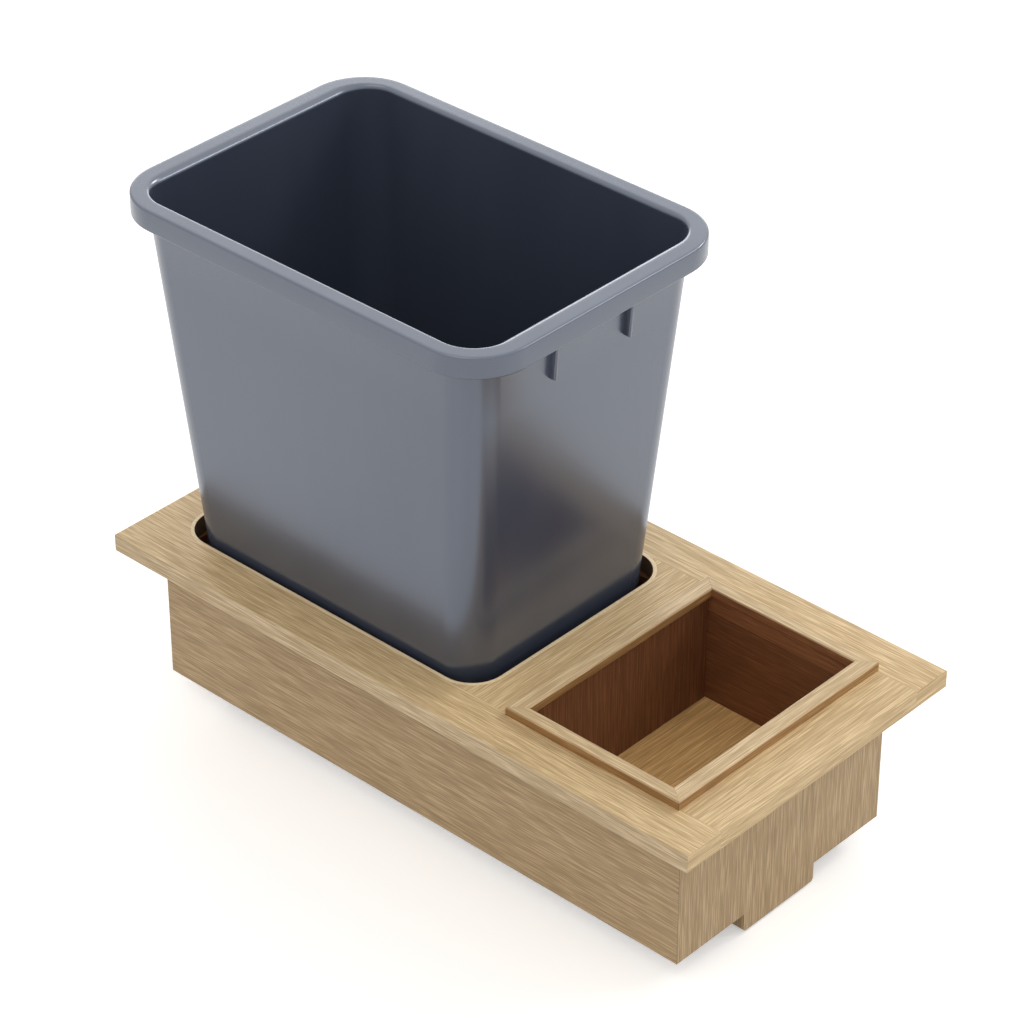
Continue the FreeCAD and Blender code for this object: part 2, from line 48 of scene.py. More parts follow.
FOLD_EASING = 0.0004
NO_ROLLING = (1.0, 1.0, 1.0)
COAT_PALE = (0.42, 0.43, 0.45)
COAT_DULL = (0.38, 0.39, 0.41)
SHEET_RELIEF = 0.00008
MIX_FACTOR, MIX_FIRST, MIX_SECOND = 0, 6, 7
MIX_COLOR = 2


def new_group(name, inputs, outputs):
    group = bpy.data.node_groups.new(name, "ShaderNodeTree")
    for label, kind, value in inputs:
        socket = group.interface.new_socket(label, in_out="INPUT", socket_type=kind)
        socket.default_value = value
    for label, kind in outputs:
        group.interface.new_socket(label, in_out="OUTPUT", socket_type=kind)
    return group, group.nodes.new("NodeGroupInput"), group.nodes.new("NodeGroupOutput")


def add_node(tree, kind, values=None, **settings):
    node = tree.nodes.new("ShaderNode" + kind)
    for key, value in settings.items():
        setattr(node, key, value)
    for key, value in (values or {}).items():
        node.inputs[key].default_value = value
    return node


def feed(tree, socket, value):
    """Links a socket to another one, or gives it a constant."""
    if isinstance(value, bpy.types.NodeSocket):
        tree.links.new(value, socket)
    else:
        socket.default_value = value


def noise_of(tree, vector, scale, detail, roughness, distortion=0.0):
    """Noise with about scale cells to a metre."""
    node = add_node(tree, "TexNoise", {"Scale": scale, "Detail": detail, "Roughness": roughness,
                                       "Distortion": distortion})
    tree.links.new(vector, node.inputs["Vector"])
    return node.outputs["Fac"]


def ramp_of(tree, value, low, high, to_low=0.0, to_high=1.0):
    """Turns a value between low and high smoothly into one between to_low and to_high."""
    values = {"From Min": low, "From Max": high, "To Min": to_low, "To Max": to_high}
    node = add_node(tree, "MapRange", values, clamp=True, interpolation_type="SMOOTHSTEP")
    tree.links.new(value, node.inputs["Value"])
    return node.outputs["Result"]


def mixed(tree, factor, first, second, blend="MIX"):
    node = add_node(tree, "Mix", data_type="RGBA", blend_type=blend)
    for place, value in ((MIX_FACTOR, factor), (MIX_FIRST, first), (MIX_SECOND, second)):
        feed(tree, node.inputs[place], value)
    return node.outputs[MIX_COLOR]


def calculated(tree, operation, first, second):
    node = add_node(tree, "Math", operation=operation)
    for socket, value in zip(node.inputs, (first, second)):
        feed(tree, socket, value)
    return node.outputs[0]


def vector_of(tree, operation, first, second):
    node = add_node(tree, "VectorMath", operation=operation)
    for socket, value in zip(node.inputs, (first, second)):
        feed(tree, socket, value)
    return node.outputs["Value" if operation == "DOT_PRODUCT" else "Vector"]


def weighed(tree, mask, weight):
    return calculated(tree, "MULTIPLY", mask, weight)


def tinted(tree, tone, mask, weight, tint):
    """Lets a tint show where the mask does, as far as the weight says."""
    return mixed(tree, weighed(tree, mask, weight), tone, tint)


def put_out(tree, result, tone, rough, height):
    """Ends a surface's group: its colour, its roughness and the height of its relief."""
    for label, value in (("Color", tone), ("Roughness", rough), ("Height", height)):
        tree.links.new(value, result.inputs[label])


SURFACE_OUTPUTS = [("Color", "NodeSocketColor"), ("Roughness", "NodeSocketFloat"),
                   ("Height", "NodeSocketFloat")]


def metal_sheet_group():
    """Sheet metal: two tones in clouds, fine rolling lines and small dull marks."""
    group, given, result = new_group(
        "metal_sheet",
        [("Rolling", "NodeSocketVector", NO_ROLLING), ("Bright", "NodeSocketColor", (0.66, 0.67, 0.68, 1)),
         ("Dull", "NodeSocketColor", (0.42, 0.43, 0.45, 1)), ("Gloss", "NodeSocketFloat", 0.3)],
        SURFACE_OUTPUTS)
    bright, dull = given.outputs["Bright"], given.outputs["Dull"]
    where = add_node(group, "TexCoord").outputs["Object"]
    rolled = vector_of(group, "MULTIPLY", where, given.outputs["Rolling"])
    lines = noise_of(group, rolled, scale=2600, detail=4.0, roughness=0.6)
    clouds = noise_of(group, where, scale=45, detail=4.0, roughness=0.6, distortion=0.4)
    marks = ramp_of(group, noise_of(group, where, scale=260, detail=5.0, roughness=0.7), low=0.62, high=0.72)
    tone = mixed(group, ramp_of(group, clouds, low=0.3, high=0.72), dull, bright)
    glints = ramp_of(group, lines, low=0.3, high=0.8, to_high=0.22)
    tone = mixed(group, glints, tone, (0.85, 0.86, 0.88, 1))
    tone = tinted(group, tone, marks, 0.35, dull)
    cloudy_gloss = ramp_of(group, clouds, low=0.2, high=0.8, to_low=0.14, to_high=-0.04)
    rough = calculated(group, "ADD", given.outputs["Gloss"], cloudy_gloss)
    rough = calculated(group, "ADD", rough, weighed(group, marks, 0.12))
    height = calculated(group, "ADD", weighed(group, lines, 0.5), weighed(group, clouds, 0.7))
    put_out(group, result, tone, rough, height)
    return group


metal_sheet = metal_sheet_group()


def new_material(name):
    material = bpy.data.materials.new(name)
    material.use_nodes = True
    tree = material.node_tree
    return material, tree, tree.nodes["Principled BSDF"]


def surface_material(name, group, values, relief, strength, easing=0.0):
    """A material on a surface's group; relief is the height of its bumps, and easing rounds the edges."""
    material, tree, shader = new_material(name)
    surface = add_node(tree, "Group", values, node_tree=group)
    tree.links.new(surface.outputs["Color"], shader.inputs["Base Color"])
    tree.links.new(surface.outputs["Roughness"], shader.inputs["Roughness"])
    bump = add_node(tree, "Bump", {"Strength": strength, "Distance": relief})
    tree.links.new(surface.outputs["Height"], bump.inputs["Height"])
    if easing:
        rounding = add_node(tree, "Bevel", {"Radius": easing}, samples=6)
        tree.links.new(rounding.outputs["Normal"], bump.inputs["Normal"])
    tree.links.new(bump.outputs["Normal"], shader.inputs["Normal"])
    return material, shader


def steel_material(name, rolling, bright, dull, gloss, easing=0.0, metallic=1.0):
    values = {"Rolling": rolling, "Bright": (*bright, 1), "Dull": (*dull, 1), "Gloss": gloss}
    material, shader = surface_material(name, metal_sheet, values, SHEET_RELIEF, 0.25, easing)
    shader.inputs["Metallic"].default_value = metallic
    return material


def finish_node(node, material):
    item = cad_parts[node]
    item.data.materials.clear()
    item.data.materials.append(material)


coated_steel = steel_material("coated_bracket_steel", NO_ROLLING, COAT_PALE, COAT_DULL, gloss=0.40,
                              easing=FOLD_EASING, metallic=0.0)
for node in ("bracket_left", "bracket_right", "tie_bar_front", "tie_bar_rear"):
    finish_node(node, coated_steel)

# --- Base rivets --------------------------------------------------------------------------------
# Four domed steel rivets hold the tie bars down on the feet of the brackets. Each head is turned
# smooth and lies on the bar, and its shank is closed flush under the foot.

RIVET_HEAD = 0.0036
RIVET_DOME = 0.0014
RIVET_SHANK = 0.002
RIVET_TIP = 0.0018
RIVET_CHAMFER = 0.0001
RIVET_EASING = 0.0002
DOME_ANGLES = range(8, 86, 11)
TURNED_SIDES = 28
BAR_TOP = 0.004
TIE_RIVET_X = 0.0689757
POLISHED_PALE = (0.70, 0.70, 0.70)
POLISHED_DULL = (0.50, 0.50, 0.51)


def turned_piece(name, profile, seats, sides=TURNED_SIDES):
    """Joins one copy of a profile of (radius, height) points, spun about its axis, for each seat."""
    points = []
    faces = []
    last_ring = len(profile) - 1
    for place, axis in seats:
        turn = Vector((0, 0, 1)).rotation_difference(Vector(axis)).to_matrix()
        first = len(points)
        for radius, height in profile:
            for side in range(sides):
                angle = 2 * math.pi * side / sides
                spun = Vector((radius * math.cos(angle), radius * math.sin(angle), height))
                points.append(Vector(place) + turn @ spun)
        for ring in range(last_ring):
            low = first + ring * sides
            high = low + sides
            for side in range(sides):
                after = (side + 1) % sides
                faces.append((low + side, low + after, high + after, high + side))
        faces.append([first + side for side in reversed(range(sides))])
        faces.append([first + last_ring * sides + side for side in range(sides)])
    return mesh_piece(name, points, faces)


def new_object(name, data):
    item = bpy.data.objects.new(name, data)
    bpy.context.scene.collection.objects.link(item)
    return item


def mesh_piece(name, points, faces, sharp=35):
    """A smooth mesh, whose edges stay sharp where its faces turn by more than an angle in degrees."""
    mesh = bpy.data.meshes.new(name)
    mesh.from_pydata([tuple(p) for p in points], [], faces)
    mesh.validate()
    mesh.shade_smooth()
    mesh.set_sharp_from_angle(angle=math.radians(sharp))
    return new_object(name, mesh)


def dress(piece, body, material, slot, *replaced):
    """Gives a new piece its material, its body and the nodes that it stands for; the slot is not used."""
    piece.data.materials.append(material)
    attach(piece, body)
    if replaced:
        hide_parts(*replaced)


def rivet_profile(shank_length):
    """The tip and the shank, the flat under the head, and its dome."""
    profile = [(RIVET_TIP, -shank_length), (RIVET_SHANK, -shank_length + RIVET_CHAMFER), (RIVET_SHANK, 0),
               (RIVET_HEAD - RIVET_EASING, 0)]
    for degrees in DOME_ANGLES:
        angle = math.radians(degrees)
        profile.append((RIVET_HEAD * math.cos(angle), RIVET_DOME * math.sin(angle)))
    return profile


rivet_steel = steel_material("turned_rivet_steel", NO_ROLLING, POLISHED_PALE, POLISHED_DULL, gloss=0.26)
front_bar, rear_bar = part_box("tie_bar_front"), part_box("tie_bar_rear")
bar_middles = [(low.y + high.y) / 2 for low, high in (front_bar, rear_bar)]
seats = [((x, y, BAR_TOP), (0, 0, 1)) for x in (-TIE_RIVET_X, TIE_RIVET_X) for y in bar_middles]
tie_rivets = turned_piece("turned_tie_rivets", rivet_profile(BAR_TOP), seats)
dress(tie_rivets, "base", rivet_steel, "rivet_steel", "tie_rivets")

# --- Slides -------------------------------------------------------------------------------------
# A full-extension ball-bearing slide runs down each side: an outer channel on the bracket, a middle
# channel and an inner channel on the tray, rolled from 1 mm plated steel strip.

ROLLED_ALONG = (1.0, 0.015, 1.0)
PLATED_PALE = (0.56, 0.57, 0.59)
PLATED_DULL = (0.47, 0.48, 0.50)
STRIP_EASING = 0.0002

slide_steel = steel_material("rolled_slide_steel", ROLLED_ALONG, PLATED_PALE, PLATED_DULL, gloss=0.24,
                             easing=STRIP_EASING)
for side in ("left", "right"):
    for member in ("cabinet_member_", "middle_member_", "drawer_member_"):
        finish_node(member + side, slide_steel)

# --- Ball cages and balls -----------------------------------------------------------------------
# Thin pressed cages keep the polished steel balls apart in their grooves. The balls run in oil, so
# the cages carry a darker, greasier film than the channels round them.

BALL_RADIUS = 0.0015
BALL_SIDES = 20
BALLS_IN_A_ROW = 4
PRESSED_ALONG = (1.0, 0.05, 1.0)
OILY_PALE = (0.50, 0.49, 0.46)
OILY_DULL = (0.30, 0.29, 0.27)
BALL_PALE = (0.80, 0.80, 0.80)
BALL_DULL = (0.62, 0.62, 0.62)

cage_steel = steel_material("pressed_cage_steel", PRESSED_ALONG, OILY_PALE, OILY_DULL, gloss=0.38)
ball_steel = steel_material("polished_ball_steel", NO_ROLLING, BALL_PALE, BALL_DULL, gloss=0.12)
ball_angles = [math.radians(degrees) for degrees in range(-84, 85, 12)]
ball_profile = [(BALL_RADIUS * math.cos(angle), BALL_RADIUS * math.sin(angle)) for angle in ball_angles]
for side in ("left", "right"):
    for row in ("outer", "inner"):
        finish_node(f"{row}_cage_{side}", cage_steel)
        low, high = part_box(f"{row}_balls_{side}")
        middle_x = (low.x + high.x) / 2
        middle_z = (low.z + high.z) / 2
        ball_half = (high.x - low.x) / 2
        rise = (high.z - low.z) / 2 - ball_half
        first_y = low.y + ball_half
        last_y = high.y - ball_half
        seats = []
        for ball in range(BALLS_IN_A_ROW):
            y = first_y + (last_y - first_y) * ball / (BALLS_IN_A_ROW - 1)
            seats += [((middle_x, y, z), (0, 0, 1)) for z in (middle_z - rise, middle_z + rise)]
        balls = turned_piece(f"polished_{row}_balls_{side}", ball_profile, seats, BALL_SIDES)
        dress(balls, f"{row}_cage_{side}", ball_steel, "ball_steel", f"{row}_balls_{side}")

# --- Slide rivets, rubber stops and tray screws --------------------------------------------------
# Three rivets hold each slide to its bracket, and three pan-head screws hold it to the tray's side
# board. A rubber stop on a stud at the back of the outer channel takes the bump when the tray shuts.

SLIDE_MIDDLE_Z = 0.0305
RIVET_SEAT_X = 0.085276
RIVET_LENGTH = 0.003
RIVET_YS = (-0.198, -0.008, 0.182)
SCREW_SEAT_X = 0.098976
SCREW_YS = (-0.208, -0.008, 0.192)
SCREW_PROFILE = [(0.0006, -0.0010), (0.0014, -0.0011), (0.0017, -0.0015), (0.0027, -0.0014),
                 (0.0033, -0.0011), (0.0036, -0.0007), (0.0036, -0.0003), (0.0034, 0.0), (0.0019, 0.0),
                 (0.0019, 0.008), (0.0004, 0.011)]
RUBBER_BLACK = (0.02, 0.02, 0.02, 1)
RUBBER_BLOOM = (0.11, 0.11, 0.11, 1)
RUBBER_RELIEF = 0.0001
STOP_EASING = 0.0004


def rubber_group():
    """Rubber: a grey bloom in patches and fine pores."""
    group, given, result = new_group("dull_rubber", [("Tint", "NodeSocketColor", RUBBER_BLACK)],
                                     SURFACE_OUTPUTS)
    where = add_node(group, "TexCoord").outputs["Object"]
    bloom = ramp_of(group, noise_of(group, where, scale=180, detail=4.0, roughness=0.6), low=0.35, high=0.75)
    pores = noise_of(group, where, scale=3800, detail=2.0, roughness=0.5)
    tone = tinted(group, given.outputs["Tint"], bloom, 0.25, RUBBER_BLOOM)
    rough = ramp_of(group, bloom, low=0.0, high=1.0, to_low=0.62, to_high=0.8)
    put_out(group, result, tone, rough, pores)
    return group


stop_rubber, _ = surface_material("stop_rubber", rubber_group(), {}, RUBBER_RELIEF, 0.4, STOP_EASING)

for side, sign in (("left", -1), ("right", 1)):
    seats = [((sign * RIVET_SEAT_X, y, SLIDE_MIDDLE_Z), (-sign, 0, 0)) for y in RIVET_YS]
    rivets = turned_piece("turned_slide_rivets_" + side, rivet_profile(RIVET_LENGTH), seats)
    dress(rivets, "base", rivet_steel, "rivet_steel", "slide_rivets_" + side)
    seats = [((sign * SCREW_SEAT_X, y, SLIDE_MIDDLE_Z), (sign, 0, 0)) for y in SCREW_YS]
    screws = turned_piece("turned_tray_screws_" + side, SCREW_PROFILE, seats)
    dress(screws, "tray", rivet_steel, "rivet_steel", "tray_screws_" + side)
    finish_node("end_bumper_" + side, stop_rubber)

# --- Tray body ----------------------------------------------------------------------------------
# Long oak side boards are mitred to a front board, whose tongue hangs just clear of the cabinet floor. A
# back board and a divider join them. The grain is upright on the front and divider, and level elsewhere.

GRAIN_STRETCH = 0.022
SHORT_GRAIN = 0.012
ACROSS_X = (GRAIN_STRETCH, 1.0, 1.0)
ALONG_Y = (1.0, GRAIN_STRETCH, 1.0)
UPRIGHT_Z = (1.0, 1.0, GRAIN_STRETCH)
OAK_RELIEF = 0.00012


def oak_group():
    """Oak: growth bands, fine straight grain lines, short dark pores, and a painted shade on the faces turned
    to one direction.
    """
    group, given, result = new_group(
        "oak_grain",
        [("Run", "NodeSocketVector", ALONG_Y), ("Shift", "NodeSocketVector", (0, 0, 0)),
         ("Pale", "NodeSocketColor", (0.6, 0.42, 0.2, 1)), ("Deep", "NodeSocketColor", (0.45, 0.29, 0.13, 1)),
         ("Line", "NodeSocketColor", (0.3, 0.18, 0.08, 1)), ("Lines", "NodeSocketFloat", 0.5),
         ("Bands", "NodeSocketFloat", 0.6), ("Gloss", "NodeSocketFloat", 0.5),
         ("Faces", "NodeSocketVector", (0, 0, 0)), ("Reach", "NodeSocketFloat", 0.55),
         ("Painted Shade", "NodeSocketColor", (1, 1, 1, 1))],
        SURFACE_OUTPUTS)
    pale, deep, line = (given.outputs[label] for label in ("Pale", "Deep", "Line"))
    place = add_node(group, "TexCoord")
    where, normal = place.outputs["Object"], place.outputs["Normal"]

    def grain_of(stretch, scale, detail, distortion=0.0, roughness=0.5):
        stretched = vector_of(group, "MULTIPLY", where, stretch)
        moved = vector_of(group, "ADD", stretched, given.outputs["Shift"])
        return noise_of(group, moved, scale, detail, roughness, distortion)

    # The end faces, square to the grain, take a run across the tray, so that they show lines too.
    crosswise = vector_of(group, "SUBTRACT", (1, 1, 1), given.outputs["Run"])
    ending = calculated(group, "ABSOLUTE", vector_of(group, "DOT_PRODUCT", crosswise, normal), 0.0)
    run = mixed(group, ramp_of(group, ending, low=0.6, high=0.8), given.outputs["Run"], (*ACROSS_X, 1))
    shorter = vector_of(group, "ADD", run, (SHORT_GRAIN, SHORT_GRAIN, SHORT_GRAIN))

    drift = ramp_of(group, grain_of(run, scale=9, detail=2.0), low=0.30, high=0.72)
    growth = grain_of(run, scale=46, detail=3.0, distortion=0.5, roughness=0.55)
    bands = ramp_of(group, growth, low=0.32, high=0.70)
    stripes = ramp_of(group, grain_of(run, scale=150, detail=2.0, distortion=0.2), low=0.36, high=0.66)
    lines = ramp_of(group, grain_of(run, scale=940, detail=1.0), low=0.42, high=0.58)
    hairs = ramp_of(group, grain_of(shorter, scale=1250, detail=1.0), low=0.42, high=0.58)
    ticks = ramp_of(group, grain_of(shorter, scale=1000, detail=1.0), low=0.50, high=0.60)
    tone = tinted(group, pale, bands, given.outputs["Bands"], deep)
    tone = tinted(group, tone, drift, 0.24, deep)
    tone = tinted(group, tone, stripes, 0.14, deep)
    tone = tinted(group, tone, lines, given.outputs["Lines"], line)
    tone = tinted(group, tone, hairs, 0.34, line)
    tone = tinted(group, tone, ticks, 0.34, line)

    # Faces turned to the Faces direction, past the Reach, take the painted shade multiplied into their tone.
    facing = vector_of(group, "DOT_PRODUCT", normal, given.outputs["Faces"])
    turned = calculated(group, "SUBTRACT", facing, given.outputs["Reach"])
    shaded_tone = mixed(group, 1.0, tone, given.outputs["Painted Shade"], "MULTIPLY")
    tone = mixed(group, ramp_of(group, turned, low=0.0, high=0.35), tone, shaded_tone)

    line_gloss = ramp_of(group, lines, low=0.0, high=1.0, to_low=-0.03, to_high=0.07)
    rough = calculated(group, "ADD", given.outputs["Gloss"], line_gloss)
    rough = calculated(group, "ADD", rough, weighed(group, drift, 0.04))
    height = calculated(group, "SUBTRACT", 0.5, weighed(group, lines, 0.3))
    height = calculated(group, "SUBTRACT", height, weighed(group, ticks, 0.5))
    put_out(group, result, tone, rough, height)
    return group


oak_grain = oak_group()


def oak_material(name, run, shift, tones, lines=0.44, bands=0.30, gloss=0.5, easing=0.0006, faces=(0, 0, 0),
                 painted_shade=(1, 1, 1), reach=0.55):
    """Oak in a pale, a deep and a line tone; faces turned to a direction take a painted shade."""
    values = {"Run": run, "Shift": shift, "Lines": lines, "Bands": bands, "Gloss": gloss, "Faces": faces,
              "Reach": reach, "Painted Shade": (*painted_shade, 1)}
    for label, tone in zip(("Pale", "Deep", "Line"), tones):
        values[label] = (*tone, 1)
    material, shader = surface_material(name, oak_grain, values, OAK_RELIEF, 0.35, easing)
    shader.inputs["Specular IOR Level"].default_value = 0.4
    return material


BODY_TONES = ((0.575, 0.42, 0.245), (0.45, 0.31, 0.162), (0.235, 0.15, 0.068))
# A dark painted shade for the faces that look into the tray, where little light reaches.
DARK_PAINTED_SHADE = (0.42, 0.23, 0.165)
TO_THE_LEFT = (-1.0, 0.0, 0.0)
TO_THE_FRONT = (0.0, -1.0, 0.0)

finish_node("front_board", oak_material("body_oak_front", UPRIGHT_Z, (0.11, 0.57, 0.83), BODY_TONES,
                                        bands=0.5))
# The boards' faces that look into the tray, and their top edges, take the dark painted shade.
for node, name, run, shift, faces, lines in (
        ("side_board_left", "side_left", ALONG_Y, (0.31, 0.17, 0.05), (0, 0, 1), 0.44),
        ("side_board_right", "side_right", ALONG_Y, (0.73, 0.41, 0.29), (-1, 0, 1), 0.44),
        ("back_board", "back", ACROSS_X, (0.2, 0.3, 0.6), (0, -1, 1), 0.44),
        ("divider_board", "divider", UPRIGHT_Z, (0.5, 0.1, 0.4), TO_THE_FRONT, 0.5)):
    finish_node(node, oak_material("body_oak_" + name, run, shift, BODY_TONES, lines=lines, faces=faces,
                                   painted_shade=DARK_PAINTED_SHADE))

# --- Tray floor ---------------------------------------------------------------------------------
# A thin oak-faced plywood floor in grooves in the boards carries the bin and closes the bottom of the
# storage compartment. Its grain runs across the tray.

FLOOR_TONES = ((0.92, 0.60, 0.26), (0.76, 0.46, 0.18), (0.38, 0.21, 0.07))
finish_node("floor_board", oak_material("floor_ply_oak", ACROSS_X, (0.9, 0.2, 0.7), FLOOR_TONES))

# --- Dowels -------------------------------------------------------------------------------------
# Plain beech dowels join the rails of the panel and the boards of the body. They are glued in blind
# holes, so nothing shows of them, and their grain runs along them.

BEECH_TONES = ((0.66, 0.47, 0.29), (0.58, 0.39, 0.22), (0.45, 0.28, 0.15))
for node, run in (("frame_dowels", ACROSS_X), ("box_dowels", UPRIGHT_Z)):
    finish_node(node, oak_material("beech_" + node, run, (0.4, 0.6, 0.2), BEECH_TONES, lines=0.2, gloss=0.6,
                                   easing=0.0004))

# --- Panel rails --------------------------------------------------------------------------------
# The panel is a frame of solid oak rails. Two side rails run from front to back, and three cross rails
# join them round the storage compartment and the cut-out. The back one's grain runs from front to back.

PANEL_TONES = ((0.81, 0.615, 0.355), (0.67, 0.485, 0.25), (0.34, 0.215, 0.09))
RAIL_LEFT_PAINTED_SHADE = (0.88, 0.92, 1.05)

# The side rails' faces turned to the left take a cooler, greyer painted shade.
for side, shift in (("left", (0.13, 0.07, 0.35)), ("right", (0.53, 0.61, 0.09))):
    finish_node("side_rail_" + side, oak_material("panel_oak_side_" + side, ALONG_Y, shift, PANEL_TONES,
                                                  faces=TO_THE_LEFT, painted_shade=RAIL_LEFT_PAINTED_SHADE))
for rail, run, shift in (("front_rail", ACROSS_X, (0.4, 0.23, 0.71)),
                         ("middle_rail", ACROSS_X, (0.8, 0.93, 0.1)),
                         ("back_rail", ALONG_Y, (0.27, 0.39, 0.5))):
    finish_node(rail, oak_material("panel_oak_" + rail, run, shift, PANEL_TONES))

# --- Cut-out lipping ----------------------------------------------------------------------------
# A thin bent oak lipping lines the cut-out that the bin drops through. Its top edge is a little paler
# than the rails round it, and its walls take a dark painted shade.

LIPPING_TONES = ((0.88, 0.72, 0.48), (0.80, 0.62, 0.38), (0.62, 0.44, 0.24))
LIPPING_PAINTED_SHADE = (0.16, 0.12, 0.09)
ALL_BUT_THE_TOP = {"faces": (0, 0, -1), "reach": -0.5}

finish_node("cutout_lipping", oak_material("lipping_oak", ALONG_Y, (0.6, 0.8, 0.3), LIPPING_TONES, lines=0.25,
                                           easing=0.0008, painted_shade=LIPPING_PAINTED_SHADE, **ALL_BUT_THE_TOP))

# --- Storage rim --------------------------------------------------------------------------------
# Four oak strips, mitred at their corners, stand up round the storage compartment. The side strips
# reach down inside the panel to finish the compartment's walls. The faces of the front, back and left
# strips turned to the front or the left take a browner painted shade, and the right strip's inner faces a
# dark painted shade.

RIM_TONES = ((0.78, 0.60, 0.37), (0.66, 0.485, 0.265), (0.34, 0.225, 0.105))
RIM_PAINTED_SHADE = (0.53, 0.38, 0.235)
RIM_FRONT_PAINTED_SHADE = (0.66, 0.51, 0.36)

for node, run, shift, faces, painted_shade in (
        ("rim_front", ACROSS_X, (0.3, 0.5, 0.2), TO_THE_FRONT, RIM_FRONT_PAINTED_SHADE),
        ("rim_back", ACROSS_X, (0.9, 0.4, 0.6), TO_THE_FRONT, RIM_PAINTED_SHADE),
        ("rim_left", ALONG_Y, (0.7, 0.2, 0.8), TO_THE_LEFT, RIM_PAINTED_SHADE),
        ("rim_right", ALONG_Y, (0.1, 0.9, 0.4), TO_THE_LEFT, DARK_PAINTED_SHADE)):
    finish_node(node, oak_material("rim_oak_" + node, run, shift, RIM_TONES, easing=0.0009, faces=faces,
                                   painted_shade=painted_shade))

# --- Waste bin ----------------------------------------------------------------------------------
# The bin is injection moulded in dark blue-grey plastic and stands on the tray's floor. It has drafted
# walls, a flat ring whose inner edge rolls over into the walls, a hollow skirt that hangs from the ring,
# and two ribs at each end.

BIN_Y = 0.099
BIN_TOP = 0.438
BIN_FLOOR = 0.055
SKIRT_BOTTOM = 0.421
RIM_HALF = (0.1305, 0.182)
RIM_CORNER = 0.045
RIM_ROUNDING = 0.0017
OPENING_HALF = (0.1183, 0.1698)
ROLL_HALF = (0.1190, 0.1698)
ROLL_CORNER = 0.0335
ROLL_REACH = (0.0030, 0.0060)
ROLL_DROP = 0.0045
NECK_CORNER = 0.0352
WALL = 0.0024
WALL_CORNER = 0.028
SKIRT = 0.0022
RING = 0.0024
BASE_ROUNDING = 0.006
FOOT_WIDTH = 0.014
FOOT_DEPTH = 0.002
BASE = 0.0028
SIDE_DRAFT = math.tan(math.radians(3.9))
END_DRAFT = math.tan(math.radians(4.6))
SHOULDER = (0.0012, 0.0057)
SHOULDER_DROP = 0.0015
EDGE_EASING = 0.0003
CREASE = 0.0002
NECK_EASING = 0.0004
SKIRT_FILLET = 0.001
FOOT_LEDGE = 0.004
FLOOR_LEDGE = 0.01
INNER_TOP = BIN_TOP - 0.040
CORNER_STEPS = 14
WALL_STEPS = 8
RING_STEPS = 6
CAVITY_STEPS = 9
ROLL_ANGLES = range(0, 91, 9)
RIB_X = 0.0385
RIB_EDGES = ((-0.00175, 0.0010), (-0.0016, 0.0005), (-0.0013, 0.0002), (-0.0008, 0.0), (0.0008, 0.0),
             (0.0013, 0.0002), (0.0016, 0.0005), (0.00175, 0.0010))
RIB_REACH = 0.0049
RIB_BOTTOM = 0.384
RIB_ROOT = 0.001
RIB_TIP = 0.0008
BIN_SHARP = 32
PLASTIC_BLUE = (0.046, 0.056, 0.085, 1)
PLASTIC_FADED = (0.058, 0.069, 0.100, 1)
PLASTIC_SHEEN = (0.81, 0.88, 1.0, 1)
PLASTIC_RELIEF = 0.00005
FLOW_STRETCH = (1.0, 1.0, 0.25)

neck_half = (OPENING_HALF[0] + WALL, OPENING_HALF[1] + WALL)


def wall_half(z):
    """Half of the width and of the length outside the walls, at a height."""
    drop = BIN_TOP - z
    return neck_half[0] - SHOULDER[0] - drop * SIDE_DRAFT, neck_half[1] - SHOULDER[1] - drop * END_DRAFT


def bin_loop(half, corner, z):
    """One closed loop of points round the bin, with round corners."""
    loop = []
    for start, x_side, y_side in ((0, 1, 1), (90, -1, 1), (180, -1, -1), (270, 1, -1)):
        for step in range(CORNER_STEPS + 1):
            angle = math.radians(start + 90 * step / CORNER_STEPS)
            loop.append((x_side * (half[0] - corner) + corner * math.cos(angle),
                         BIN_Y + y_side * (half[1] - corner) + corner * math.sin(angle), z))
    return loop


def inward(half, amount):
    return half[0] - amount, half[1] - amount


def rounded_turn(half, corner, z, radius, start, end, steps):
    """Loops that follow a rounding, whose angle is measured up from level; half is at its middle."""
    loops = []
    for step in range(steps + 1):
        angle = math.radians(start + (end - start) * step / steps)
        out = radius * math.cos(angle)
        loops.append(bin_loop(inward(half, -out), corner + out, z + radius * math.sin(angle)))
    return loops


